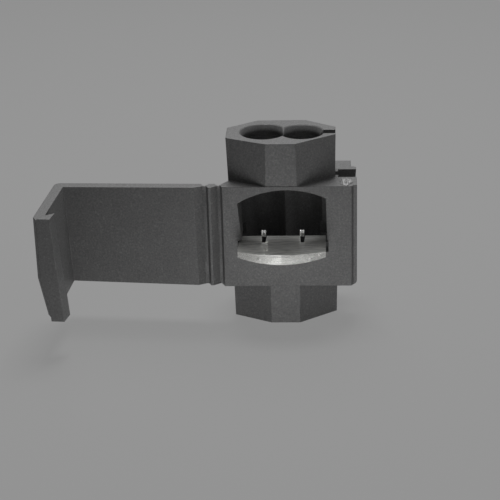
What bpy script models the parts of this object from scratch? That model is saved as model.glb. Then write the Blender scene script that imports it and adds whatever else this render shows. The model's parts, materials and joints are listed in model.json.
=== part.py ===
"""Quick wire connector: a moulded block with two wire channels, a hinged cover and a press-in contact.

Frame: the origin is on the run channel's axis at the bottom face, because the run wire holds the
connector. +X runs across the front towards the side slot, +Y from the front face to the back, and
+Z up along the wires.
"""

import math

import bmesh
import bpy
from mathutils import Vector

MM = 0.001

# Wire channels: the tap wire ends in a blind channel, the run wire passes through from the side
TAP_RADIUS = 2.10 * MM
RUN_RADIUS = 1.98 * MM
CHANNEL_PITCH = 3.42 * MM
FRONT_WALL = 1.28 * MM
TAP_FLOOR = 2.00 * MM

# Heights of the lower collar, the block and the upper collar
FOOT_HEIGHT = 3.65 * MM
BLOCK_HEIGHT = 9.50 * MM
CROWN_HEIGHT = 3.92 * MM

# Collars: long octagons, a hair behind the block's front and back faces
BODY_DEPTH = 6.45 * MM
CROWN_RIM_WIDTH = 9.62 * MM
CROWN_ROOT_WIDTH = 9.44 * MM
CROWN_RIM_FLAT = 2.58 * MM
CROWN_ROOT_FLAT = 2.76 * MM
CROWN_RIM_SHIFT = -0.13 * MM
CROWN_ROOT_SHIFT = -0.09 * MM
FOOT_ROOT_WIDTH = 9.35 * MM
FOOT_RIM_WIDTH = 9.21 * MM
FOOT_FLAT = 2.60 * MM
FOOT_SHIFT = 0.12 * MM
LEFT_SHOULDER = 1.78 * MM
RIGHT_SHOULDER = 2.52 * MM
BACK_SHOULDER = 1.92 * MM
BACK_FLAT = 4.30 * MM
COLLAR_SETBACK = 0.03 * MM

# Block, measured from the collars' centre line
BLOCK_SIDE = 4.82 * MM
BLOCK_SIDE_START = 1.50 * MM
BLOCK_BACK_CHAMFER = 0.60 * MM
BLOCK_CORNER_RADIUS = 0.42 * MM
JAW_REACH = 6.52 * MM
LAND_WIDTH = 0.32 * MM
LAND_STEP_WIDTH = 0.15 * MM
LAND_RECESS = 0.25 * MM

# Side slot that lets the run wire in, and its narrower lips in the collars
SIDE_SLOT_GAP = 1.96 * MM
COLLAR_SLOT_GAP = 0.94 * MM
SLOT_LEDGE = 0.12 * MM
SLOT_LEDGE_REACH = 4.90 * MM

# Catch on the rear jaw: a rib that leans with the hook, and the notch behind it
RIB_BACK = 4.95 * MM
RIB_CATCH = 0.31 * MM
RIB_CHAMFER = 0.22 * MM
NOTCH_CLEARANCE = 0.15 * MM

# Window in the front face: its arched head is a little to the left of its foot
WINDOW_FOOT_LEFT = 3.62 * MM
WINDOW_FOOT_RIGHT = 3.90 * MM
WINDOW_HEAD_LEFT = 3.97 * MM
WINDOW_HEAD_RIGHT = 3.78 * MM
WINDOW_DEPTH = 3.25 * MM
WINDOW_HEAD = 12.82 * MM
WINDOW_ARCH_RADIUS = 8.10 * MM
WINDOW_ARCH_SHIFT = 0.30 * MM

# Contact blade and the slit that it is pressed along
BLADE_HALF_WIDTH = 3.85 * MM
BLADE_SHIFT = -0.08 * MM
BLADE_TOP = 7.97 * MM
BLADE_THICKNESS = 0.92 * MM
BLADE_SIDE_THICKNESS = 0.54 * MM
BLADE_INSIDE = 1.29 * MM
BLADE_PROUD = 3.07 * MM
BLADE_CROWN = 0.78 * MM
WIRE_SLOT_LENGTH = 1.50 * MM
WIRE_SLOT_MOUTH = 0.45 * MM
WIRE_SLOT_WIDTH = 0.31 * MM
PRESS_TRAVEL = 3.05 * MM
SLIT_SIDE_CLEARANCE = 0.15 * MM
SLIT_HEIGHT_CLEARANCE = 0.10 * MM
SLIT_END_CLEARANCE = 0.15 * MM

# Hinged strip: flange, link and cover share one thickness and part on two hinge lines
STRIP_THICKNESS = 0.96 * MM
BODY_HINGE_REACH = 5.60 * MM
LINK_PITCH = 1.24 * MM
WEB_THICKNESS = 0.20 * MM
WEB_RETREAT = 0.165 * MM
FLANGE_BEVEL = 0.16 * MM
LINK_BODY_BEVEL = 0.52 * MM
LINK_COVER_BEVEL = 0.17 * MM
COVER_FOOT_BEVEL = 0.58 * MM
COVER_HEAD_BEVEL = 0.76 * MM
BACK_BEVEL = 0.20 * MM
STRIP_BOTTOM = 3.74 * MM
STRIP_TOP = 13.11 * MM

# Cover: plate, end wall and hook. Heights are from the bottom face
COVER_REST_DEG = 4.67
PLATE_END_BOTTOM = 3.83 * MM
PLATE_END_TOP = 12.89 * MM
WALL_LEAN = 0.42 * MM
WALL_THICKNESS = 0.90 * MM
WALL_FOOT_THICKNESS = 0.65 * MM
WALL_KINK = 7.30 * MM
WALL_CORNER_RADIUS = 0.50 * MM
WALL_BEVEL_WIDTH = 0.35 * MM
WALL_BEVEL_DEPTH = 0.55 * MM
HOOK_BOTTOM = 3.44 * MM
HOOK_TOP = 12.95 * MM
HOOK_THICKNESS = 0.88 * MM
HOOK_UNDERCUT = 0.57 * MM
HOOK_HEAD_FRONT = 0.64 * MM
HOOK_FOOT_FRONT = 0.83 * MM
HOOK_HEAD_TIP = 0.76 * MM
HOOK_FOOT_TIP = 1.01 * MM

# Closed fit: how far the link turns, and what the cover keeps from the block once it is shut
LINK_TURN_DEG = 88.0
WALL_CLEARANCE = 0.01 * MM
HOOK_CLEARANCE = 0.10 * MM

# Facets of the round forms, and how far a cutter or a joined piece runs past a face
CHANNEL_FACETS = 56
NOSE_FACETS = 4
CORNER_FACETS = 5
ARCH_FACETS = 20
CROWN_FACETS = 24
OVERRUN = 1.0 * MM
EMBED = 0.5 * MM
WELD_DISTANCE = 0.001 * MM
FLAT_ANGLE = math.radians(0.1)
SHARP_ANGLE = math.radians(30.0)

# Places worked out from the sizes
RUN_ACROSS = CHANNEL_PITCH / 2
TAP_DEPTH = FRONT_WALL + TAP_RADIUS
RUN_DEPTH = FRONT_WALL + RUN_RADIUS
BLOCK_BOTTOM = FOOT_HEIGHT
BLOCK_TOP = BLOCK_BOTTOM + BLOCK_HEIGHT
BODY_TOP = BLOCK_TOP + CROWN_HEIGHT
AXIS_DEPTH = STRIP_THICKNESS / 2
COVER_HINGE_REACH = BODY_HINGE_REACH + LINK_PITCH

# The cover's hinge axis once shut, and the reaches from that axis that its wall and hook need
SHUT_AXIS = BODY_HINGE_REACH + LINK_PITCH * math.cos(math.radians(LINK_TURN_DEG))
SHUT_GAP = LINK_PITCH * math.sin(math.radians(LINK_TURN_DEG)) - STRIP_THICKNESS
WALL_FOOT_INNER = SHUT_AXIS + JAW_REACH + WALL_CLEARANCE
WALL_HEAD_INNER = WALL_FOOT_INNER + WALL_LEAN
WALL_HEAD_OUTER = WALL_HEAD_INNER + WALL_THICKNESS
WALL_FOOT_OUTER = WALL_FOOT_INNER + WALL_FOOT_THICKNESS
HOOK_ROOT = BODY_DEPTH + SHUT_GAP + HOOK_CLEARANCE
HOOK_POINT = HOOK_ROOT - HOOK_UNDERCUT
WALL_LENGTH = HOOK_ROOT + HOOK_THICKNESS

collections = {}


def plan(across, depth):
    """Point in the part's frame from a distance off the centre line and a depth behind the face."""
    return (across - RUN_ACROSS, depth - RUN_DEPTH)


def clear_scene():
    """Remove every object that the file starts with."""
    for item in list(bpy.data.objects):
        bpy.data.objects.remove(item, do_unlink=True)


def make_collection(name):
    """Add a collection to the scene and keep it under its name."""
    group = bpy.data.collections.new(name)
    bpy.context.scene.collection.children.link(group)
    collections[name] = group
    return group


def make_material(name, colour, roughness, metallic):
    """Principled material with one plain finish."""
    material = bpy.data.materials.new(name)
    material.use_nodes = True
    shader = material.node_tree.nodes["Principled BSDF"]
    shader.inputs["Base Color"].default_value = (*colour, 1.0)
    shader.inputs["Roughness"].default_value = roughness
    shader.inputs["Metallic"].default_value = metallic
    return material


def add_object(name, mesh, group):
    """Link a mesh to the scene as a named object."""
    item = bpy.data.objects.new(name, mesh)
    collections[group].objects.link(item)
    return item


def mark_cutter(item):
    """Show a cutter as wire only and leave it out of renders."""
    item.display_type = "WIRE"
    item.hide_render = True
    return item


def outline_prism(name, points, low, high, group):
    """Flat outline in plan, filled and raised from low to high, as a welded mesh."""
    curve = bpy.data.curves.new(name, "CURVE")
    curve.dimensions = "2D"
    curve.fill_mode = "BOTH"
    curve.extrude = (high - low) / 2
    spline = curve.splines.new("POLY")
    spline.points.add(len(points) - 1)
    for spot, (x, y) in zip(spline.points, points):
        spot.co = (x, y, 0.0, 1.0)
    spline.use_cyclic_u = True
    source = bpy.data.objects.new(name + "_outline", curve)
    bpy.context.scene.collection.objects.link(source)
    source.location = (0.0, 0.0, (low + high) / 2)
    bpy.context.view_layer.update()
    graph = bpy.context.evaluated_depsgraph_get()
    mesh = bpy.data.meshes.new_from_object(source.evaluated_get(graph))
    mesh.transform(source.matrix_world)
    bpy.data.objects.remove(source, do_unlink=True)
    work = bmesh.new()
    work.from_mesh(mesh)
    bmesh.ops.remove_doubles(work, verts=work.verts, dist=WELD_DISTANCE)
    bmesh.ops.dissolve_limit(work, angle_limit=FLAT_ANGLE, verts=work.verts, edges=work.edges)
    bmesh.ops.recalc_face_normals(work, faces=work.faces)
    work.to_mesh(mesh)
    work.free()
    return add_object(name, mesh, group)


def loft(name, sections, group):
    """Closed body through sections of like point counts, each a ring of 3-D points, low to high."""
    work = bmesh.new()
    rings = [[work.verts.new(point) for point in section] for section in sections]
    for lower, upper in zip(rings, rings[1:]):
        for index in range(len(lower)):
            after = (index + 1) % len(lower)
            work.faces.new((lower[index], lower[after], upper[after], upper[index]))
    work.faces.new(list(reversed(rings[0])))
    work.faces.new(rings[-1])
    bmesh.ops.recalc_face_normals(work, faces=work.faces)
    bmesh.ops.connect_verts_nonplanar(work, angle_limit=FLAT_ANGLE, faces=work.faces)
    mesh = bpy.data.meshes.new(name)
    work.to_mesh(mesh)
    work.free()
    return add_object(name, mesh, group)


def cylinder(name, radius, centre, low, high, group):
    """Upright cylinder from low to high."""
    work = bmesh.new()
    bmesh.ops.create_cone(work, cap_ends=True, segments=CHANNEL_FACETS, radius1=radius,
                          radius2=radius, depth=high - low)
    bmesh.ops.translate(work, verts=work.verts, vec=(*centre, (low + high) / 2))
    mesh = bpy.data.meshes.new(name)
    work.to_mesh(mesh)
    work.free()
    return add_object(name, mesh, group)


def box(name, low, high, group):
    """Box between two corners."""
    size = [b - a for a, b in zip(low, high)]
    middle = [(a + b) / 2 for a, b in zip(low, high)]
    work = bmesh.new()
    bmesh.ops.create_cube(work, size=1.0)
    bmesh.ops.scale(work, verts=work.verts, vec=size)
    bmesh.ops.translate(work, verts=work.verts, vec=middle)
    mesh = bpy.data.meshes.new(name)
    work.to_mesh(mesh)
    work.free()
    return add_object(name, mesh, group)


def combine(item, other, operation):
    """Add an exact Boolean of another object to this one."""
    modifier = item.modifiers.new(other.name, "BOOLEAN")
    modifier.operation = operation
    modifier.solver = "EXACT"
    modifier.object = other
    mark_cutter(other)


def set_origin(item, point):
    """Move an object's origin to a point and leave its mesh where it is."""
    shift = Vector(point)
    item.data.transform(item.matrix_world.inverted())
    item.data.transform(item.matrix_world.Translation(-shift))
    item.location = shift


def shade(item):
    """Smooth shading between facets of one curve, sharp on real edges."""
    item.data.shade_smooth()
    item.data.set_sharp_from_angle(angle=SHARP_ANGLE)


def arc(centre, radius, start_deg, end_deg, facets):
    """Points along an arc, both ends included."""
    points = []
    for step in range(facets + 1):
        angle = math.radians(start_deg + (end_deg - start_deg) * step / facets)
        points.append((centre[0] + radius * math.cos(angle), centre[1] + radius * math.sin(angle)))
    return points


def collar_ring(width, flat, height, shift):
    """Octagon of a collar at one height, anticlockwise from the front flat's left end.

    shift moves its middle to the right of the block's centre line.
    """
    half = width / 2
    front = COLLAR_SETBACK
    back = BODY_DEPTH - COLLAR_SETBACK
    outline = [
        (-flat / 2, front), (flat / 2, front),
        (half, RIGHT_SHOULDER), (half, back - BACK_SHOULDER),
        (BACK_FLAT / 2, back), (-BACK_FLAT / 2, back),
        (-half, back - BACK_SHOULDER), (-half, LEFT_SHOULDER),
    ]
    return [(*plan(x + shift, y), height) for x, y in outline]


def crown():
    """Upper collar, flared a little towards its rim and sunk into the block to join it."""
    below = -EMBED / CROWN_HEIGHT
    width = CROWN_ROOT_WIDTH + (CROWN_RIM_WIDTH - CROWN_ROOT_WIDTH) * below
    flat = CROWN_ROOT_FLAT + (CROWN_RIM_FLAT - CROWN_ROOT_FLAT) * below
    shift = CROWN_ROOT_SHIFT + (CROWN_RIM_SHIFT - CROWN_ROOT_SHIFT) * below
    sections = [collar_ring(width, flat, BLOCK_TOP - EMBED, shift),
                collar_ring(CROWN_RIM_WIDTH, CROWN_RIM_FLAT, BODY_TOP, CROWN_RIM_SHIFT)]
    return loft("upper_collar", sections, "cutters")


def foot():
    """Lower collar, drafted towards its rim and sunk into the block to join it."""
    above = 1.0 + EMBED / FOOT_HEIGHT
    width = FOOT_RIM_WIDTH + (FOOT_ROOT_WIDTH - FOOT_RIM_WIDTH) * above
    sections = [collar_ring(FOOT_RIM_WIDTH, FOOT_FLAT, 0.0, FOOT_SHIFT),
                collar_ring(width, FOOT_FLAT, BLOCK_BOTTOM + EMBED, FOOT_SHIFT)]
    return loft("lower_collar", sections, "cutters")


def nose(axis, side, front_bevel, back_bevel):
    """End of a strip at a hinge axis, from its front face round the thin web to its back face.

    side is 1 for a strip that lies to the right of the axis, and -1 for one to its left.
    """
    centre = (axis + side * WEB_RETREAT, AXIS_DEPTH)
    radius = WEB_THICKNESS / 2
    front = [(centre[0] + side * front_bevel, 0.0)]
    back = [(centre[0] + side * back_bevel, STRIP_THICKNESS)]
    turn = 180.0 if side > 0 else -180.0
    return front + arc(centre, radius, -90.0, -90.0 - turn, NOSE_FACETS) + back


def block_outline():
    """Plan of the block with its flange, anticlockwise from the flange's front edge."""
    hinge_end = nose(-BODY_HINGE_REACH, 1, FLANGE_BEVEL, BACK_BEVEL)
    step = JAW_REACH - LAND_WIDTH
    right = [(step - LAND_STEP_WIDTH, 0.0), (step, LAND_RECESS), (JAW_REACH, LAND_RECESS),
             (JAW_REACH, BODY_DEPTH)]
    left = [(-BLOCK_SIDE + BLOCK_BACK_CHAMFER, BODY_DEPTH),
            (-BLOCK_SIDE, BODY_DEPTH - BLOCK_BACK_CHAMFER),
            (-BLOCK_SIDE, BLOCK_SIDE_START)]
    points = [hinge_end[0]] + right + left + list(reversed(hinge_end[1:]))
    return [plan(x, y) for x, y in points]


def window_cutter():
    """Arched opening from the front face to the channels' axes, down to the slit's floor."""
    sill = BLADE_TOP - BLADE_THICKNESS / 2
    crest = WINDOW_HEAD - WINDOW_ARCH_RADIUS
    outline = [(-WINDOW_FOOT_LEFT, sill), (WINDOW_FOOT_RIGHT, sill)]
    head_width = WINDOW_HEAD_LEFT + WINDOW_HEAD_RIGHT
    for step in range(ARCH_FACETS + 1):
        across = WINDOW_HEAD_RIGHT - head_width * step / ARCH_FACETS
        rise = math.sqrt(WINDOW_ARCH_RADIUS ** 2 - (across - WINDOW_ARCH_SHIFT) ** 2)
        outline.append((across, crest + rise))
    sections = [[(*plan(x, depth), z) for x, z in outline] for depth in (-OVERRUN, WINDOW_DEPTH)]
    return loft("window_cutter", sections, "cutters")


def corner_cutter():
    """Rounds the block's lower right edge, from front to back."""
    radius = BLOCK_CORNER_RADIUS
    centre = (JAW_REACH - radius, BLOCK_BOTTOM + radius)
    outline = arc(centre, radius, -90.0, 0.0, CORNER_FACETS)
    outline += [(JAW_REACH + OVERRUN, centre[1]), (JAW_REACH + OVERRUN, BLOCK_BOTTOM - OVERRUN),
                (centre[0], BLOCK_BOTTOM - OVERRUN)]
    depths = (-OVERRUN, BODY_DEPTH + OVERRUN)
    sections = [[(*plan(x, depth), z) for x, z in outline] for depth in depths]
    return loft("corner_cutter", sections, "cutters")


def wall_reaches(height):
    """Inner and outer reach of the end wall at a height, from the cover's hinge axis."""
    rise = (height - PLATE_END_BOTTOM) / (PLATE_END_TOP - PLATE_END_BOTTOM)
    inner = WALL_FOOT_INNER + WALL_LEAN * rise
    below = max(0.0, (WALL_KINK - height) / (WALL_KINK - PLATE_END_BOTTOM))
    outer = WALL_HEAD_OUTER - (WALL_HEAD_OUTER - WALL_FOOT_OUTER) * below
    return inner, outer


def hook_reaches(height):
    """Reach of the hook's front edge and of its point at a height, from the cover's hinge axis."""
    rise = (height - HOOK_BOTTOM) / (HOOK_TOP - HOOK_BOTTOM)
    inner = wall_reaches(height)[0]
    front = inner - HOOK_FOOT_FRONT - (HOOK_HEAD_FRONT - HOOK_FOOT_FRONT) * rise
    point = inner - HOOK_FOOT_TIP - (HOOK_HEAD_TIP - HOOK_FOOT_TIP) * rise
    return front, point


def catch_cutter():
    """Leaves a rib on the rear jaw that the shut hook stands behind, and the hook's notch."""
    far_right = JAW_REACH + OVERRUN
    far_back = BODY_DEPTH + OVERRUN
    sections = []
    for height in (BLOCK_BOTTOM - OVERRUN, BLOCK_TOP + OVERRUN):
        shut_point = hook_reaches(height)[1] - SHUT_AXIS
        rib = shut_point + RIB_CATCH
        notch = shut_point - NOTCH_CLEARANCE
        outline = [(rib, RUN_DEPTH), (far_right, RUN_DEPTH), (far_right, far_back),
                   (notch, far_back), (notch, RIB_BACK), (rib - RIB_CHAMFER, RIB_BACK),
                   (rib, RIB_BACK - RIB_CHAMFER)]
        sections.append([(*plan(x, y), height) for x, y in outline])
    return loft("catch_cutter", sections, "cutters")


def block_slot():
    """Side slot of the block, open above and below outside the collars, with a ledge under them."""
    inner = RUN_ACROSS
    outer = JAW_REACH + OVERRUN
    low = BLOCK_BOTTOM + SLOT_LEDGE
    high = BLOCK_TOP - SLOT_LEDGE
    outline = [(inner, low), (SLOT_LEDGE_REACH, low), (SLOT_LEDGE_REACH, BLOCK_BOTTOM - OVERRUN),
               (outer, BLOCK_BOTTOM - OVERRUN), (outer, BLOCK_TOP + OVERRUN),
               (SLOT_LEDGE_REACH, BLOCK_TOP + OVERRUN), (SLOT_LEDGE_REACH, high), (inner, high)]
    depths = (RUN_DEPTH - SIDE_SLOT_GAP / 2, RUN_DEPTH + SIDE_SLOT_GAP / 2)
    sections = [[(*plan(x, depth), z) for x, z in outline] for depth in depths]
    return loft("block_slot", sections, "cutters")


def collar_slot(name, low, high):
    """Narrow slot through one collar's right side, in line with the run channel."""
    near = plan(RUN_ACROSS, RUN_DEPTH - COLLAR_SLOT_GAP / 2)
    far = plan(JAW_REACH + OVERRUN, RUN_DEPTH + COLLAR_SLOT_GAP / 2)
    return box(name, (*near, low), (*far, high), "cutters")


def connector_body(material):
    """Block and collars as one moulding, with its channels, slots, window, slit and catch."""
    body = outline_prism("connector_body", block_outline(), BLOCK_BOTTOM, BLOCK_TOP, "connector")
    combine(body, crown(), "UNION")
    combine(body, foot(), "UNION")
    tap = cylinder("tap_channel", TAP_RADIUS, plan(-RUN_ACROSS, TAP_DEPTH), TAP_FLOOR,
                   BODY_TOP + OVERRUN, "cutters")
    run = cylinder("run_channel", RUN_RADIUS, plan(RUN_ACROSS, RUN_DEPTH), -OVERRUN,
                   BODY_TOP + OVERRUN, "cutters")
    slit_half = BLADE_HALF_WIDTH + SLIT_SIDE_CLEARANCE
    slit_end = BLADE_INSIDE + PRESS_TRAVEL + SLIT_END_CLEARANCE
    slit_low = (*plan(-slit_half, -OVERRUN), BLADE_TOP - BLADE_THICKNESS - SLIT_HEIGHT_CLEARANCE)
    slit_high = (*plan(slit_half, slit_end), BLADE_TOP + SLIT_HEIGHT_CLEARANCE)
    slit = box("blade_slit", slit_low, slit_high, "cutters")
    crown_slot = collar_slot("crown_slot", BLOCK_TOP - EMBED, BODY_TOP + OVERRUN)
    foot_slot = collar_slot("foot_slot", -OVERRUN, BLOCK_BOTTOM + EMBED)
    cutters = [tap, run, block_slot(), crown_slot, foot_slot, window_cutter(), slit,
               catch_cutter(), corner_cutter()]
    for cutter in cutters:
        combine(body, cutter, "DIFFERENCE")
    body.data.materials.append(material)
    shade(body)
    return body


def hinge_link(material):
    """Narrow bar between the two hinge lines, turning on the body's line."""
    right = nose(-BODY_HINGE_REACH, -1, LINK_BODY_BEVEL, BACK_BEVEL)
    left = nose(-COVER_HINGE_REACH, 1, LINK_COVER_BEVEL, BACK_BEVEL)
    points = [plan(x, y) for x, y in right + list(reversed(left))]
    link = outline_prism("hinge_link", points, STRIP_BOTTOM, STRIP_TOP, "connector")
    set_origin(link, (*plan(-BODY_HINGE_REACH, AXIS_DEPTH), STRIP_BOTTOM))
    link.data.materials.append(material)
    shade(link)
    return link


def cover_section(inner, outer, bevel):
    """Plan of the plate and end wall, anticlockwise from the plate's front edge at the hinge."""
    axis = -COVER_HINGE_REACH
    wall_in = axis - inner
    wall_out = axis - outer
    corner = (wall_out + WALL_CORNER_RADIUS, STRIP_THICKNESS - WALL_CORNER_RADIUS)
    points = nose(axis, -1, bevel, BACK_BEVEL)
    points += arc(corner, WALL_CORNER_RADIUS, 90.0, 180.0, CORNER_FACETS)
    points += [(wall_out, WALL_BEVEL_DEPTH - WALL_LENGTH),
               (wall_out + WALL_BEVEL_WIDTH, -WALL_LENGTH),
               (wall_in, -WALL_LENGTH), (wall_in, 0.0)]
    return [plan(x, y) for x, y in points]


def edge_height(x, at_hinge, at_end):
    """Height of the cover's sloping edge at a place across it."""
    hinge_x = plan(-COVER_HINGE_REACH, 0.0)[0]
    return at_hinge + (at_end - at_hinge) * (hinge_x - x) / WALL_HEAD_INNER


def cover_shell():
    """Plate and end wall in one loft: lower edge, kink in the wall, upper edge."""
    rise = (WALL_KINK - STRIP_BOTTOM) / (STRIP_TOP - STRIP_BOTTOM)
    middle_bevel = COVER_FOOT_BEVEL + (COVER_HEAD_BEVEL - COVER_FOOT_BEVEL) * rise
    low = cover_section(*wall_reaches(PLATE_END_BOTTOM), COVER_FOOT_BEVEL)
    middle = cover_section(*wall_reaches(WALL_KINK), middle_bevel)
    high = cover_section(*wall_reaches(PLATE_END_TOP), COVER_HEAD_BEVEL)
    sections = [
        [(x, y, edge_height(x, STRIP_BOTTOM, PLATE_END_BOTTOM)) for x, y in low],
        [(x, y, WALL_KINK) for x, y in middle],
        [(x, y, edge_height(x, STRIP_TOP, PLATE_END_TOP)) for x, y in high],
    ]
    return loft("cover", sections, "connector")


def hook_section(height):
    """Plan of the hook at one height, with its undercut catch face."""
    axis = -COVER_HINGE_REACH
    inner, outer = wall_reaches(height)
    front, point = hook_reaches(height)
    root = (inner + outer) / 2
    slope = HOOK_UNDERCUT / (inner - point)
    points = [(axis - root, -WALL_LENGTH), (axis - front, -WALL_LENGTH),
              (axis - point, -HOOK_POINT), (axis - root, -HOOK_ROOT - slope * (root - inner))]
    return [(*plan(x, y), height) for x, y in points]


def cover(material):
    """Plate, end wall and hook, turned back by its rest angle about its hinge line."""
    shell = cover_shell()
    hook = loft("hook", [hook_section(HOOK_BOTTOM), hook_section(HOOK_TOP)], "cutters")
    combine(shell, hook, "UNION")
    set_origin(shell, (*plan(-COVER_HINGE_REACH, AXIS_DEPTH), STRIP_BOTTOM))
    set_origin(hook, (*plan(-COVER_HINGE_REACH, AXIS_DEPTH), STRIP_BOTTOM))
    shell.rotation_euler = (0.0, 0.0, -math.radians(COVER_REST_DEG))
    hook.rotation_euler = shell.rotation_euler
    shell.data.materials.append(material)
    shade(shell)
    return shell


def blade_outline():
    """Plan of the contact, anticlockwise: crowned edge in front, wire slots behind."""
    crown_drop = BLADE_CROWN
    half = BLADE_HALF_WIDTH
    radius = (half ** 2 + crown_drop ** 2) / (2 * crown_drop)
    points = []
    for step in range(CROWN_FACETS + 1):
        across = half * (2 * step / CROWN_FACETS - 1)
        depth = -BLADE_PROUD + radius - math.sqrt(radius ** 2 - across ** 2)
        points.append((BLADE_SHIFT + across, depth))
    points.append((BLADE_SHIFT + half, BLADE_INSIDE))
    for centre in (RUN_ACROSS, -RUN_ACROSS):
        bottom = BLADE_INSIDE - WIRE_SLOT_LENGTH
        points += [(centre + WIRE_SLOT_MOUTH / 2, BLADE_INSIDE),
                   (centre + WIRE_SLOT_WIDTH / 2, bottom),
                   (centre - WIRE_SLOT_WIDTH / 2, bottom),
                   (centre - WIRE_SLOT_MOUTH / 2, BLADE_INSIDE)]
    points.append((BLADE_SHIFT - half, BLADE_INSIDE))
    return [plan(x, y) for x, y in points]


def underside_cutter():
    """Bowed underside of the contact, thick in the middle and thin at its sides."""
    half = BLADE_HALF_WIDTH
    rise = BLADE_THICKNESS - BLADE_SIDE_THICKNESS
    radius = (half ** 2 + rise ** 2) / (2 * rise)
    floor = BLADE_TOP - BLADE_THICKNESS
    side = half + OVERRUN
    outline = [(BLADE_SHIFT - side, floor - OVERRUN), (BLADE_SHIFT + side, floor - OVERRUN)]
    for step in range(CROWN_FACETS + 1):
        across = side * (1 - 2 * step / CROWN_FACETS)
        height = floor + radius - math.sqrt(radius ** 2 - across ** 2)
        outline.append((BLADE_SHIFT + across, height))
    depths = (-BLADE_PROUD - OVERRUN, BLADE_INSIDE + OVERRUN)
    sections = [[(*plan(x, depth), z) for x, z in outline] for depth in depths]
    return loft("underside_cutter", sections, "cutters")


def contact_blade(material):
    """Flat contact with its two wire slots."""
    blade = outline_prism("contact_blade", blade_outline(), BLADE_TOP - BLADE_THICKNESS,
                          BLADE_TOP, "connector")
    combine(blade, underside_cutter(), "DIFFERENCE")
    set_origin(blade, (*plan(BLADE_SHIFT, BLADE_INSIDE), BLADE_TOP))
    blade.data.materials.append(material)
    shade(blade)
    return blade


def main():
    """Build the connector."""
    clear_scene()
    make_collection("connector")
    make_collection("cutters")
    plastic = make_material("moulded_nylon", (0.115, 0.115, 0.115), 0.48, 0.0)
    tinned_brass = make_material("tinned_brass", (0.72, 0.71, 0.68), 0.28, 1.0)
    connector_body(plastic)
    hinge_link(plastic)
    cover(plastic)
    contact_blade(tinned_brass)
    bpy.context.view_layer.update()


main()
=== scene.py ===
"""Dresses the quick wire connector: moulded nylon, a tin-plated contact, soft studio light and a camera.

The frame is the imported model's: metres, +X across the front towards the side slot, +Y from the front
face to the back, +Z up along the run wire, whose axis at the bottom face is the origin.
"""

import json
import logging
import math
from dataclasses import dataclass, field
from enum import Enum

import bpy
import numpy as np
from mathutils import Matrix, Vector


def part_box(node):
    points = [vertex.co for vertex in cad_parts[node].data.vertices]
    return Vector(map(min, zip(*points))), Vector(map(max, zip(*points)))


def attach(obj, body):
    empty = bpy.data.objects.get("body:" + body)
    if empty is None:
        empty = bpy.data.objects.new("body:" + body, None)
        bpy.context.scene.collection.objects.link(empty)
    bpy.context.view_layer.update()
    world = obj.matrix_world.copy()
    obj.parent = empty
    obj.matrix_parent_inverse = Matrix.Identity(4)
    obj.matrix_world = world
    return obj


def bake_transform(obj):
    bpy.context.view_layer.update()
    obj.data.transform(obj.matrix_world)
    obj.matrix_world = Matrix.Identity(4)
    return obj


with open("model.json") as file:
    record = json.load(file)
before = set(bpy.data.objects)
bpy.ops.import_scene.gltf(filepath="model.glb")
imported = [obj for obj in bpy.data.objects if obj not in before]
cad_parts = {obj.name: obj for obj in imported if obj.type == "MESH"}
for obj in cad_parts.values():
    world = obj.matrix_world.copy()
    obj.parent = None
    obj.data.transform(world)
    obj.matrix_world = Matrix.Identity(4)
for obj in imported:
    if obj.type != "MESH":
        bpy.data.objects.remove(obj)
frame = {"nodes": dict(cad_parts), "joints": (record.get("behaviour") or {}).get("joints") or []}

bpy.context.view_layer.update()

MM = 0.001
log = logging.getLogger("connector")


class Node(Enum):
    """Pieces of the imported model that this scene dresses."""

    BODY = "connector_body"
    LINK = "hinge_link"
    COVER = "cover"
    BLADE = "contact_blade"


class Body(Enum):
    """Bodies that pieces ride on."""

    BLOCK = "block"
    LINK = "link"
    LID = "lid"
    CONTACT = "contact"


class Slot(Enum):
    """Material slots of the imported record."""

    NYLON = "moulded_nylon"
    TIN = "tinned_brass"


def linear(hex_colour: str) -> tuple[float, float, float, float]:
    """Turn an sRGB hex colour to linear RGBA.

    Args:
        hex_colour: Colour as "#rrggbb".

    Returns:
        Linear red, green, blue and an alpha of 1.
    """
    parts = [int(hex_colour[i:i + 2], 16) / 255 for i in (1, 3, 5)]
    channels = [c / 12.92 if c <= 0.04045 else ((c + 0.055) / 1.055) ** 2.4 for c in parts]
    return (channels[0], channels[1], channels[2], 1.0)


def add_node(tree: bpy.types.NodeTree, kind: str, settings: dict | None = None,
             values: dict | None = None, links: dict | None = None) -> bpy.types.Node:
    """Add one node with its settings, socket values and incoming links.

    Args:
        tree: Node tree that takes the node.
        kind: Node type, such as "ShaderNodeTexNoise".
        settings: Node properties by name.
        values: Input values by socket name or number.
        links: Output sockets by the input socket's name or number.

    Returns:
        The new node.
    """
    node = tree.nodes.new(kind)
    for name, value in (settings or {}).items():
        setattr(node, name, value)
    for name, value in (values or {}).items():
        node.inputs[name].default_value = value
    for name, source in (links or {}).items():
        tree.links.new(source, node.inputs[name])
    return node


def fill_ramp(node: bpy.types.Node, stops: tuple[float, ...], colours: tuple[str, ...]) -> None:
    """Give a colour ramp its stops.

    Args:
        node: Colour ramp node, which starts with a stop at 0 and one at 1.
        stops: Place of each stop, from 0 to 1.
        colours: Each stop's colour as "#rrggbb".
    """
    elements = node.color_ramp.elements
    for number, (stop, colour) in enumerate(zip(stops, colours)):
        element = elements[number] if number < len(elements) else elements.new(stop)
        element.position = stop
        element.color = linear(colour)


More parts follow.
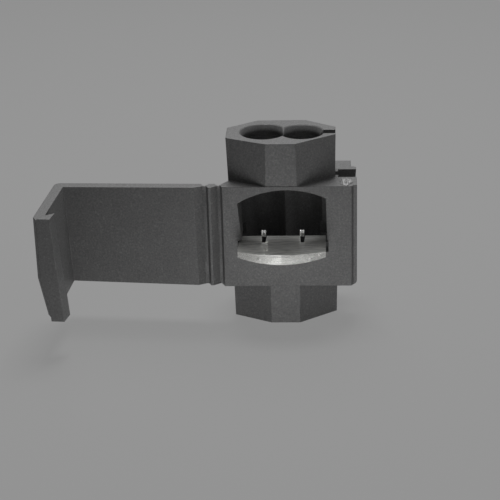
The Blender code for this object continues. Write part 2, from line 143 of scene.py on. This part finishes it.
@dataclass(frozen=True)
class MouldedNylon:
    """Grey PA66 moulded in a spark-eroded tool."""

    # To the eye this is matt mid-grey with a fine sparkle on the faces that throw the light back, and
    # edges softened by the tool's small radii. Real spark grain is about 0.03 mm across. It is drawn
    # at 0.15 mm, because one pixel of the picture covers 0.09 mm and finer grain would not show.
    name: str = "moulded_grey_nylon"
    colour: str = "#535353"
    pale: str = "#656565"
    speckle: str = "#747474"
    roughness: float = 0.45
    ior: float = 1.53
    grain_mm: float = 0.15
    grain_height_mm: float = 0.011
    grain_detail: float = 2.0
    grain_roughness: float = 0.55
    gloss_swing: float = 0.15
    mottle_mm: float = 2.2
    mottle_detail: float = 3.0
    mottle_roughness: float = 0.6
    mottle_share: float = 0.20
    tone_stops: tuple[float, float, float] = (0.40, 0.74, 0.82)
    edge_radius_mm: float = 0.10
    edge_samples: int = 8

    def material(self) -> bpy.types.Material:
        """Build the material.

        Returns:
            The finished material, patterned on Object coordinates.
        """
        material = bpy.data.materials.new(self.name)
        material.use_nodes = True
        tree = material.node_tree
        shader = tree.nodes["Principled BSDF"]
        shader.inputs["IOR"].default_value = self.ior
        place = add_node(tree, "ShaderNodeTexCoord").outputs["Object"]
        mottle = add_node(tree, "ShaderNodeTexNoise",
                          values={"Scale": 1 / (self.mottle_mm * MM), "Detail": self.mottle_detail,
                                  "Roughness": self.mottle_roughness},
                          links={"Vector": place})
        grain = add_node(tree, "ShaderNodeTexNoise",
                         values={"Scale": 1 / (self.grain_mm * MM), "Detail": self.grain_detail,
                                 "Roughness": self.grain_roughness},
                         links={"Vector": place})
        blend = add_node(tree, "ShaderNodeMath", settings={"operation": "MULTIPLY_ADD"},
                         values={1: self.mottle_share}, links={0: mottle.outputs["Fac"]})
        tree.links.new(grain.outputs["Fac"], blend.inputs[2])
        tone = add_node(tree, "ShaderNodeValToRGB", links={"Fac": blend.outputs["Value"]})
        fill_ramp(tone, self.tone_stops, (self.colour, self.pale, self.speckle))
        tree.links.new(tone.outputs["Color"], shader.inputs["Base Color"])
        gloss = add_node(tree, "ShaderNodeMapRange",
                         values={"To Min": self.roughness + self.gloss_swing,
                                 "To Max": self.roughness - self.gloss_swing},
                         links={"Value": grain.outputs["Fac"]})
        tree.links.new(gloss.outputs["Result"], shader.inputs["Roughness"])
        edge = add_node(tree, "ShaderNodeBevel", settings={"samples": self.edge_samples},
                        values={"Radius": self.edge_radius_mm * MM})
        bump = add_node(tree, "ShaderNodeBump", values={"Distance": self.grain_height_mm * MM},
                        links={"Height": grain.outputs["Fac"], "Normal": edge.outputs["Normal"]})
        tree.links.new(bump.outputs["Normal"], shader.inputs["Normal"])
        return material


@dataclass(frozen=True)
class TinPlate:
    """Bright tin plate on a strip of stamped brass."""

    # To the eye this is pale metal with soft reflections, streaked along the strip by the rolling mill
    # and white where it faces the lamp. Real rolling marks are a few hundredths of a millimetre wide
    # and are drawn at 0.12 mm, so that they show.
    name: str = "tin_plated_brass"
    colour: str = "#f2f2ee"
    dull: str = "#a8a8a6"
    roughness: float = 0.35
    gloss_rise: float = 0.08
    gloss_fall: float = 0.06
    brush_mm: float = 0.12
    brush_stretch: float = 9.0
    brush_detail: float = 3.0
    brush_height_mm: float = 0.004
    brush_strength: float = 0.5
    tone_stops: tuple[float, float] = (0.25, 0.55)

    def material(self) -> bpy.types.Material:
        """Build the material.

        Returns:
            The finished material, patterned on Object coordinates.
        """
        material = bpy.data.materials.new(self.name)
        material.use_nodes = True
        tree = material.node_tree
        shader = tree.nodes["Principled BSDF"]
        shader.inputs["Metallic"].default_value = 1.0
        place = add_node(tree, "ShaderNodeTexCoord").outputs["Object"]
        along = add_node(tree, "ShaderNodeMapping",
                         values={"Scale": (1 / self.brush_stretch, 1.0, 1.0)}, links={"Vector": place})
        brush = add_node(tree, "ShaderNodeTexNoise",
                         values={"Scale": 1 / (self.brush_mm * MM), "Detail": self.brush_detail},
                         links={"Vector": along.outputs["Vector"]})
        tone = add_node(tree, "ShaderNodeValToRGB", links={"Fac": brush.outputs["Fac"]})
        fill_ramp(tone, self.tone_stops, (self.dull, self.colour))
        tree.links.new(tone.outputs["Color"], shader.inputs["Base Color"])
        gloss = add_node(tree, "ShaderNodeMapRange",
                         values={"To Min": self.roughness + self.gloss_rise,
                                 "To Max": self.roughness - self.gloss_fall},
                         links={"Value": brush.outputs["Fac"]})
        tree.links.new(gloss.outputs["Result"], shader.inputs["Roughness"])
        flat = add_node(tree, "ShaderNodeNewGeometry").outputs["True Normal"]
        bump = add_node(tree, "ShaderNodeBump",
                        values={"Strength": self.brush_strength, "Distance": self.brush_height_mm * MM},
                        links={"Height": brush.outputs["Fac"], "Normal": flat})
        tree.links.new(bump.outputs["Normal"], shader.inputs["Normal"])
        return material


def grid_object(name: str, points: np.ndarray, material: bpy.types.Material, body: Body | None) -> bpy.types.Object:
    """Put a grid of points into a closed mesh of quads, with each end capped by one face.

    The grid's first axis runs along the piece. Its second runs round it, anticlockwise as seen from
    the last row, and its last column joins the first.

    Args:
        name: The piece's name.
        points: Array of shape (rows, columns, 3), in metres.
        material: The piece's finish.
        body: Body that the piece rides on, or None to leave it on no body.

    Returns:
        The new object.
    """
    rows, columns = points.shape[:2]
    index = np.arange(rows * columns).reshape(rows, columns)
    following = np.roll(index, -1, axis=1)
    quads = np.stack([index[:-1], following[:-1], following[1:], index[1:]], axis=-1).reshape(-1, 4)
    caps = [index[0, ::-1].tolist(), index[-1].tolist()]
    faces = quads.tolist() + caps
    mesh = bpy.data.meshes.new(name)
    mesh.from_pydata(points.reshape(-1, 3).tolist(), [], faces)
    mesh.validate()
    mesh.update()
    mesh.materials.append(material)
    mesh.shade_smooth()
    piece = bpy.data.objects.new(name, mesh)
    bpy.context.scene.collection.objects.link(piece)
    if body is not None:
        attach(piece, body.value)
    return piece


def paint(node: Node, material: bpy.types.Material) -> None:
    """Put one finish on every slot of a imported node.

    Args:
        node: The node to dress.
        material: Its finish.
    """
    for place in frame["nodes"][node.value].material_slots:
        place.material = material


def hinge_axis(joint: str) -> np.ndarray:
    """Point on a hinge's axis, in metres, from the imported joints."""
    return np.array(next(j["pos_m"] for j in frame["joints"] if j["name"] == joint))


@dataclass
class Moulding:
    """The one-shot nylon moulding: block, link and cover, with the two living hinges between them."""

    nylon: bpy.types.Material
    web_thickness: float = 0.19 * MM
    web_half_width: float = 0.20 * MM
    web_waist: float = 0.25
    web_end_gap: float = 0.02 * MM
    rows: int = 5
    columns: int = 9

    def dress(self) -> list[bpy.types.Object]:
        """Give the three moulded nodes their finish and join them with webs.

        Returns:
            The new pieces.
        """
        for node in (Node.BODY, Node.LINK, Node.COVER):
            paint(node, self.nylon)
        return [
            self.web("body_hinge_web", "link_hinge", Body.BLOCK, Body.LINK),
            self.web("cover_hinge_web", "cover_hinge", Body.LINK, Body.LID),
        ]

    def web(self, name: str, joint: str, right: Body, left: Body) -> bpy.types.Object:
        """Thin living-hinge membrane across one hinge axis.

        Its section is a flat slab with a waist: at the axis the half thickness is less by the waist's
        share, which fades along a quarter cosine to each side. The slab runs the link's full height,
        but for a small gap at each end.

        Args:
            name: The piece's name.
            joint: Name of the hinge whose axis it lies across.
            right: Body on the hinge's right; not used.
            left: Body on the hinge's left; not used.

        Returns:
            The web, which rides on neither body.
        """
        axis = hinge_axis(joint)
        low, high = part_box(Node.LINK.value)
        across = np.linspace(-self.web_half_width, self.web_half_width, self.columns)
        fade = np.cos(across / self.web_half_width * math.pi / 2)
        half = self.web_thickness / 2 * (1 - self.web_waist * fade)
        section = np.concatenate([np.stack([across, half], -1), np.stack([across, -half], -1)[::-1]])
        heights = np.linspace(low.z + self.web_end_gap, high.z - self.web_end_gap, self.rows)
        points = np.zeros((self.rows, len(section), 3))
        points[..., 0] = axis[0] + section[None, :, 0]
        points[..., 1] = axis[1] + section[None, :, 1]
        points[..., 2] = heights[:, None]
        web = grid_object(name, points[:, ::-1], self.nylon, None)
        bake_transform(web)
        return web


@dataclass
class LeadIns:
    """Rounded lead-ins at the top mouths of the two wire channels, which narrow just below the rim."""

    nylon: bpy.types.Material
    # The channels' axes and radii are the part's own. The cusp is the plane where the two channels
    # meet, and the lead-ins stop this half width to each side of the side slot's middle.
    run_centre: tuple[float, float] = (0.0, 0.0)
    run_radius: float = 1.98 * MM
    tap_centre: tuple[float, float] = (-3.42 * MM, 0.12 * MM)
    tap_radius: float = 2.10 * MM
    cusp_across: float = -1.62 * MM
    slot_half: float = 0.50 * MM
    # How far a lead-in narrows the channel, over what depth, and how far it takes to go back.
    narrowing: float = 0.26 * MM
    depth: float = 0.62 * MM
    tail: float = 0.45 * MM
    sunk: float = 0.03 * MM
    below_rim: float = 0.01 * MM
    rows: int = 48
    curve_points: int = 9

    def build(self) -> list[bpy.types.Object]:
        """Make the lead-in of the tap channel and the two halves of the run channel's.

        Returns:
            The three pieces.
        """
        outward, lift = self.section()
        run = self.run_radius + outward
        tap = self.tap_radius + outward
        slot = np.arcsin(self.slot_half / run)
        cusp = self.cusp_angle(self.run_centre, run)
        tap_cusp = self.cusp_angle(self.tap_centre, tap)
        return [
            self.arc("tap_lead_in", self.tap_centre, tap, lift, tap_cusp, 2 * math.pi - tap_cusp),
            self.arc("run_lead_in_back", self.run_centre, run, lift, slot, cusp),
            self.arc("run_lead_in_front", self.run_centre, run, lift, -cusp, -slot),
        ]

    def cusp_angle(self, centre: tuple[float, float], radius: np.ndarray) -> np.ndarray:
        """Angle at which circles about a channel's axis meet the plane where the two channels join."""
        return np.arccos((self.cusp_across - centre[0]) / radius)

    def section(self) -> tuple[np.ndarray, np.ndarray]:
        """Section of the lead-in, as distances out from the channel's wall and heights from the rim.

        Above, the wall comes in along a quarter sine and ends upright. Below, it goes back along a
        quarter cosine.

        Returns:
            Distances outwards and heights, running round the section.
        """
        quarter = np.linspace(0, math.pi / 2, self.curve_points)
        inward = self.narrowing * np.concatenate([np.sin(quarter), np.cos(quarter)[1:]])
        share = np.linspace(0, 1, self.curve_points)
        drop = self.below_rim + np.concatenate([self.depth * share, self.depth + self.tail * share[1:]])
        outward = np.concatenate([[0.0, self.sunk, self.sunk], -inward[:0:-1]])
        lift = np.concatenate([[-self.below_rim, -self.below_rim, -drop[-1]], -drop[:0:-1]])
        return outward, lift

    def arc(self, name: str, centre: tuple[float, float], radius: np.ndarray, lift: np.ndarray,
            start: np.ndarray, end: np.ndarray) -> bpy.types.Object:
        """Turn the section about a channel's axis, each of its points over its own range of angles.

        Args:
            name: The piece's name.
            centre: The channel's axis.
            radius: Distance of each point of the section from that axis.
            lift: Height of each point from the rim.
            start: Each point's first angle, in radians.
            end: Each point's last angle, in radians.

        Returns:
            The piece.
        """
        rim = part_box(Node.BODY.value)[1].z
        turn = start + (end - start) * np.linspace(0, 1, self.rows)[:, None]
        points = np.zeros((self.rows, len(radius), 3))
        points[..., 0] = centre[0] + radius * np.cos(turn)
        points[..., 1] = centre[1] + radius * np.sin(turn)
        points[..., 2] = rim + lift
        return grid_object(name, points, self.nylon, Body.BLOCK)


@dataclass
class GateMark:
    """Torn stub that the moulding gate left on top of the front jaw."""

    # The stub's finish is painted paler than the skin, a painted highlight for the glints on it.
    torn: bpy.types.Material
    centre: tuple[float, float, float] = (3.86 * MM, -2.24 * MM, 13.15 * MM)
    half_width: float = 0.58 * MM
    half_depth: float = 0.88 * MM
    height: float = 0.24 * MM
    sunk: float = 0.04 * MM
    third_swell: float = 0.13
    third_phase: float = 0.8
    fifth_swell: float = 0.09
    # The radians of each wave over one ripple follow it.
    ripple: float = 0.21 * MM
    rising_pitch: float = 2.1
    falling_pitch: float = 1.7
    wave_share: float = 0.38
    innermost: float = 0.03
    rings: int = 16
    spokes: int = 48

    def build(self) -> list[bpy.types.Object]:
        """Make the stub.

        It is a low dome on a ragged oval: the oval's radius swells with the third and fifth
        harmonic of the angle. The dome's height follows a quarter circle, and the product of two
        waves, one along each diagonal, breaks it by the waves' share.

        Returns:
            The stub.
        """
        turn = np.linspace(0, 2 * math.pi, self.spokes, endpoint=False)
        share = np.linspace(1, self.innermost, self.rings)[:, None]
        ragged = 1 + self.third_swell * np.sin(3 * turn + self.third_phase)
        ragged += self.fifth_swell * np.cos(5 * turn)
        across = share * ragged * self.half_width * np.cos(turn)
        along = share * ragged * self.half_depth * np.sin(turn)
        dome = np.sqrt(1 - share ** 2)
        rising = np.sin((across + along) / self.ripple * self.rising_pitch)
        falling = np.cos((across - along) / self.ripple * self.falling_pitch)
        broken = 1 - self.wave_share + self.wave_share * rising * falling
        lift = self.height * dome * broken - self.sunk * (share == 1)
        points = np.stack([self.centre[0] + across, self.centre[1] + along, self.centre[2] + lift], -1)
        return [grid_object("gate_stub", points, self.torn, Body.BLOCK)]


@dataclass
class Contact:
    """The stamped contact: flat blade, sheared crowned edge and the points at its wire slots."""

    tin: bpy.types.Material
    sheared: bpy.types.Material
    coined: bpy.types.Material
    # The crowned edge: half its chord, how far it bulges, and its thickness at the two sides.
    crown_half: float = 3.84 * MM
    crown_drop: float = 0.78 * MM
    side_thickness: float = 0.56 * MM
    crown_proud: float = 0.006 * MM
    crown_sunk: float = 0.05 * MM
    crown_inset: float = 0.01 * MM
    crown_round: float = 0.030 * MM
    crown_power: int = 6
    # Each burr's place across the front and below the blade's top.
    burrs: tuple[tuple[float, float], ...] = (
        (-1.98 * MM, 0.40 * MM), (2.55 * MM, 0.42 * MM), (2.73 * MM, 0.34 * MM), (3.36 * MM, 0.20 * MM))
    burr_radius: float = 0.085 * MM
    burr_height: float = 0.065 * MM
    crown_rows: int = 121
    crown_columns: int = 13
    # The coined points: the middle of each wire slot, and how far back the faces lean there.
    slot_across: tuple[float, float] = (-3.46 * MM, -0.05 * MM)
    face_lean_deg: tuple[float, float] = (50.0, 24.0)
    from_centre: float = 0.105 * MM
    half_width: float = 0.095 * MM
    thickness: float = 0.24 * MM
    thinnest: float = 0.03 * MM
    neck: float = 0.07 * MM
    neck_share: float = 0.4
    sunk: float = 0.05 * MM
    swell: float = 0.36 * MM
    height: float = 0.58 * MM
    plan_power: float = 5.0
    # The top closes in over this share of the height, and this share of the circle is used.
    closing_share: float = 0.1
    closing_end: float = 0.995
    rows: int = 30
    columns: int = 32

    def dress(self) -> list[bpy.types.Object]:
        """Give the blade its finish, and add its crowned edge and the coined points.

        Returns:
            The new pieces.
        """
        paint(Node.BLADE, self.tin)
        pieces = [self.crown()]
        for slot, (across, lean) in enumerate(zip(self.slot_across, self.face_lean_deg)):
            for side in (-1, 1):
                name = f"coined_point_{2 * slot + (side > 0) + 1}"
                pieces.append(self.point(name, across + side * self.from_centre, lean))
        return pieces

    def crown(self) -> bpy.types.Object:
        """Smooth face of the crowned edge, where the strip was sheared.

        It is a strip of a cylinder, whose radius follows from the crown's chord and bulge. The strip
        grows thinner by the square of the distance from its middle. It draws back to its upper and
        lower edges by a sixth power, and each burr of the shearing is a Gaussian hump.

        Returns:
            The edge.
        """
        low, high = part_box(Node.BLADE.value)
        middle = (low.x + high.x) / 2
        radius = (self.crown_half ** 2 + self.crown_drop ** 2) / (2 * self.crown_drop)
        reach = math.asin(self.crown_half / radius)
        turn = np.linspace(-reach, reach, self.crown_rows)[:, None]
        across = radius * np.sin(turn)
        full = high.z - low.z
        height = full - (full - self.side_thickness) * (across / self.crown_half) ** 2
        share = np.linspace(1, 0, self.crown_columns)
        rise = np.concatenate([[0.0, 1.0], share])
        level = high.z - self.crown_inset - (height - 2 * self.crown_inset) * (1 - rise)
        front = self.crown_proud - self.crown_round * np.abs(2 * share - 1) ** self.crown_power
        front = np.tile(front, (self.crown_rows, 1))
        back = np.full((self.crown_rows, 2), -self.crown_sunk)
        for burr_across, below in self.burrs:
            apart = (across - burr_across) ** 2 + (high.z - below - level[:, 2:]) ** 2
            front += self.burr_height * np.exp(-apart / self.burr_radius ** 2)
        out = np.concatenate([back, front], axis=1)
        points = np.zeros((self.crown_rows, len(rise), 3))
        points[..., 0] = middle + (radius + out) * np.sin(turn)
        points[..., 1] = low.y + radius - (radius + out) * np.cos(turn)
        points[..., 2] = level
        return grid_object("crowned_edge", points, self.sheared, Body.CONTACT)

    def point(self, name: str, across: float, lean_deg: float) -> bpy.types.Object:
        """Small point that the coining press turned up at the end of the blade.

        Its plan is a superellipse of power five. Above a thin neck it swells forwards along a half
        cosine. Above the swell its front face leans back at a fixed slope, and the section closes
        in over the last tenth of its height, along a quarter circle.

        Args:
            name: The piece's name.
            across: Its middle, across the front.
            lean_deg: How far its upper front face leans back from upright.

        Returns:
            The point.
        """
        low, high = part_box(Node.BLADE.value)
        rise = np.linspace(0, 1, self.rows)
        lift = rise * (self.height + self.sunk) - self.sunk
        swelling = np.clip((lift / self.swell - self.neck_share) / (1 - self.neck_share), 0, 1)
        grown = 0.5 - 0.5 * np.cos(swelling * math.pi)
        retreat = np.maximum(lift - self.swell, 0) * math.tan(math.radians(lean_deg))
        depth = np.maximum(self.neck + (self.thickness - self.neck) * grown - retreat, self.thinnest)
        closing = np.clip((rise - 1) / self.closing_share + 1, 0, self.closing_end)
        close = np.sqrt(1 - closing ** 2)
        turn = np.linspace(0, 2 * math.pi, self.columns, endpoint=False)
        rounded = 2 / self.plan_power
        side = np.sign(np.cos(turn)) * np.abs(np.cos(turn)) ** rounded
        back = np.sign(np.sin(turn)) * np.abs(np.sin(turn)) ** rounded
        points = np.zeros((self.rows, self.columns, 3))
        points[..., 0] = across + self.half_width * close[:, None] * side
        points[..., 1] = high.y - depth[:, None] / 2 * (1 - close[:, None] * back)
        points[..., 2] = high.z + lift[:, None]
        return grid_object(name, points, self.coined, Body.CONTACT)


PART_MIDDLE = (-4.67 * MM, -3.26 * MM, 7.16 * MM)
BLOCK_MIDDLE = (-1.71 * MM, -3.26 * MM, 8.0 * MM)


@dataclass(frozen=True)
class Lamp:
    """Square area lamp aimed at the connector.

    Its azimuth and elevation are degrees, an azimuth of 0 is straight in front, and its distance and
    size are metres.
    """

    name: str
    azimuth: float
    elevation: float
    distance: float
    size: float
    level: float
    aim: tuple[float, float, float] = PART_MIDDLE

    def light(self) -> bpy.types.Object:
        """Place the lamp.

        Its power is worked out so that a level of 1 lights a facing white surface to white.

        Returns:
            The lamp.
        """
        data = bpy.data.lights.new(self.name, "AREA")
        data.shape = "SQUARE"
        data.size = self.size
        data.energy = self.level * (math.pi * self.distance) ** 2
        lamp = bpy.data.objects.new(self.name, data)
        bpy.context.scene.collection.objects.link(lamp)
        azimuth, elevation = math.radians(self.azimuth), math.radians(self.elevation)
        away = Vector((math.sin(azimuth) * math.cos(elevation),
                       -math.cos(azimuth) * math.cos(elevation), math.sin(elevation)))
        lamp.location = Vector(self.aim) + away * self.distance
        lamp.rotation_euler = (-away).to_track_quat("-Z", "Y").to_euler()
        lamp.visible_camera = False
        return lamp


LAMPS = (
    Lamp("low_front_lamp", azimuth=0.0, elevation=-43.0, distance=0.040, size=0.014, level=0.200,
         aim=BLOCK_MIDDLE),
    Lamp("glint_lamp", azimuth=2.0, elevation=-24.0, distance=0.040, size=0.014, level=0.225,
         aim=BLOCK_MIDDLE),
    Lamp("low_left_lamp", azimuth=-20.0, elevation=-60.0, distance=0.13, size=0.046, level=0.060),
    Lamp("front_lamp", azimuth=0.0, elevation=12.0, distance=0.13, size=0.050, level=0.020),
    Lamp("right_lamp", azimuth=68.0, elevation=5.0, distance=0.15, size=0.080, level=0.070),
    Lamp("top_lamp", azimuth=180.0, elevation=80.0, distance=0.15, size=0.050, level=0.600),
    Lamp("back_lamp", azimuth=180.0, elevation=60.0, distance=0.15, size=0.100, level=0.450),
)


@dataclass
class Studio:
    """Plain floor, soft light and the camera, whose angles are degrees."""

    backdrop: str = "#969696"
    floor_size: float = 4.0
    floor_roughness: float = 0.9
    floor_glow: float = 0.8
    world_level: float = 0.015
    target: Vector = field(default_factory=lambda: Vector((-4.665, -3.26, 7.164)) * MM)
    azimuth: float = 3.038
    elevation: float = 23.332
    roll: float = -1.559
    focal_px: float = 1611.64
    frame_px: float = 500.0
    sensor_mm: float = 36.0
    clip_start: float = 1.0 * MM
    distance: float = 143.0 * MM

    def build(self) -> None:
        """Set up the whole studio."""
        self.floor()
        self.world()
        for lamp in LAMPS:
            lamp.light()
        self.camera()

    def floor(self) -> None:
        """Floor that shows the camera mostly the backdrop's grey and lets lamps below it through."""
        half = self.floor_size / 2
        corners = [(-half, -half, 0), (half, -half, 0), (half, half, 0), (-half, half, 0)]
        mesh = bpy.data.meshes.new("floor")
        mesh.from_pydata(corners, [], [(0, 1, 2, 3)])
        material = bpy.data.materials.new("pale_paper")
        material.use_nodes = True
        tree = material.node_tree
        shader = tree.nodes["Principled BSDF"]
        shader.inputs["Base Color"].default_value = linear(self.backdrop)
        shader.inputs["Roughness"].default_value = self.floor_roughness
        output = tree.nodes["Material Output"]
        path = add_node(tree, "ShaderNodeLightPath")
        glow = add_node(tree, "ShaderNodeEmission", values={"Color": linear(self.backdrop)})
        share = add_node(tree, "ShaderNodeMath", settings={"operation": "MULTIPLY"},
                         values={1: self.floor_glow}, links={0: path.outputs["Is Camera Ray"]})
        mix = add_node(tree, "ShaderNodeMixShader", links={0: share.outputs["Value"]})
        tree.links.new(shader.outputs["BSDF"], mix.inputs[1])
        tree.links.new(glow.outputs["Emission"], mix.inputs[2])
        tree.links.new(mix.outputs["Shader"], output.inputs["Surface"])
        mesh.materials.append(material)
        floor = bpy.data.objects.new("floor", mesh)
        floor.visible_shadow = False
        bpy.context.scene.collection.objects.link(floor)

    def world(self) -> None:
        """Faint even light, with the backdrop's grey behind the floor and in mirrored reflections."""
        world = bpy.data.worlds.new("studio")
        bpy.context.scene.world = world
        world.use_nodes = True
        tree = world.node_tree
        tree.nodes.clear()
        path = add_node(tree, "ShaderNodeLightPath")
        ambient = add_node(tree, "ShaderNodeBackground",
                           values={"Color": (1, 1, 1, 1), "Strength": self.world_level})
        seen = add_node(tree, "ShaderNodeBackground", values={"Color": linear(self.backdrop)})
        seen_by = add_node(tree, "ShaderNodeMath", settings={"operation": "MAXIMUM"},
                           links={0: path.outputs["Is Camera Ray"], 1: path.outputs["Is Glossy Ray"]})
        mix = add_node(tree, "ShaderNodeMixShader", links={0: seen_by.outputs["Value"]})
        tree.links.new(ambient.outputs["Background"], mix.inputs[1])
        tree.links.new(seen.outputs["Background"], mix.inputs[2])
        add_node(tree, "ShaderNodeOutputWorld", links={"Surface": mix.outputs["Shader"]})

    def camera(self) -> None:
        """Camera at the photograph's angle, fitted to the connector's edges."""
        azimuth, elevation = math.radians(self.azimuth), math.radians(self.elevation)
        roll = math.radians(self.roll)
        forward = Vector((-math.sin(azimuth) * math.cos(elevation),
                          math.cos(azimuth) * math.cos(elevation), -math.sin(elevation)))
        right = Vector((math.cos(azimuth), math.sin(azimuth), 0))
        up = right.cross(forward)
        level_right = right * math.cos(roll) + up * math.sin(roll)
        level_up = up * math.cos(roll) - right * math.sin(roll)
        data = bpy.data.cameras.new("camera")
        data.sensor_width = self.sensor_mm
        data.lens = self.focal_px / self.frame_px * data.sensor_width
        data.clip_start = self.clip_start
        camera = bpy.data.objects.new("camera", data)
        bpy.context.scene.collection.objects.link(camera)
        turn = Matrix((level_right, level_up, -forward)).transposed()
        camera.matrix_world = Matrix.Translation(self.target - forward * self.distance) @ turn.to_4x4()
        bpy.context.scene.camera = camera


def write_sizes() -> None:
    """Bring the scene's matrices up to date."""
    bpy.context.view_layer.update()


def main() -> None:
    """Dress the connector and set up the studio."""
    logging.basicConfig(level=logging.INFO, format="%(name)s: %(message)s")
    nylon = MouldedNylon().material()
    # The torn stub is painted paler than the moulded skin, with bright speckles, as painted highlight for the
    # glints on it; it is also rougher in shape and shinier than the moulded skin.
    torn = MouldedNylon(name="torn_nylon_painted_glints", colour="#666666", pale="#9a9a9a", speckle="#b4b4b4",
                        roughness=0.32, grain_height_mm=0.03, edge_radius_mm=0.02).material()
    tin = TinPlate().material()
    # Shearing and coining burnish the plate, so both of these are brighter than the rolled faces.
    sheared = TinPlate(name="sheared_tin_plate", colour="#fafaf6", dull="#dcdcda",
                       roughness=0.27).material()
    coined = TinPlate(name="coined_tin_plate", colour="#ececea", dull="#d0d0ce",
                      roughness=0.26).material()
    pieces = Moulding(nylon).dress()
    pieces += LeadIns(nylon).build()
    pieces += GateMark(torn).build()
    pieces += Contact(tin, sheared, coined).dress()
    for piece in pieces:
        log.info("%s: %d faces", piece.name, len(piece.data.polygons))
    Studio().build()
    bpy.context.scene.view_settings.view_transform = "Standard"
    write_sizes()


if __name__ == "__main__":
    main()
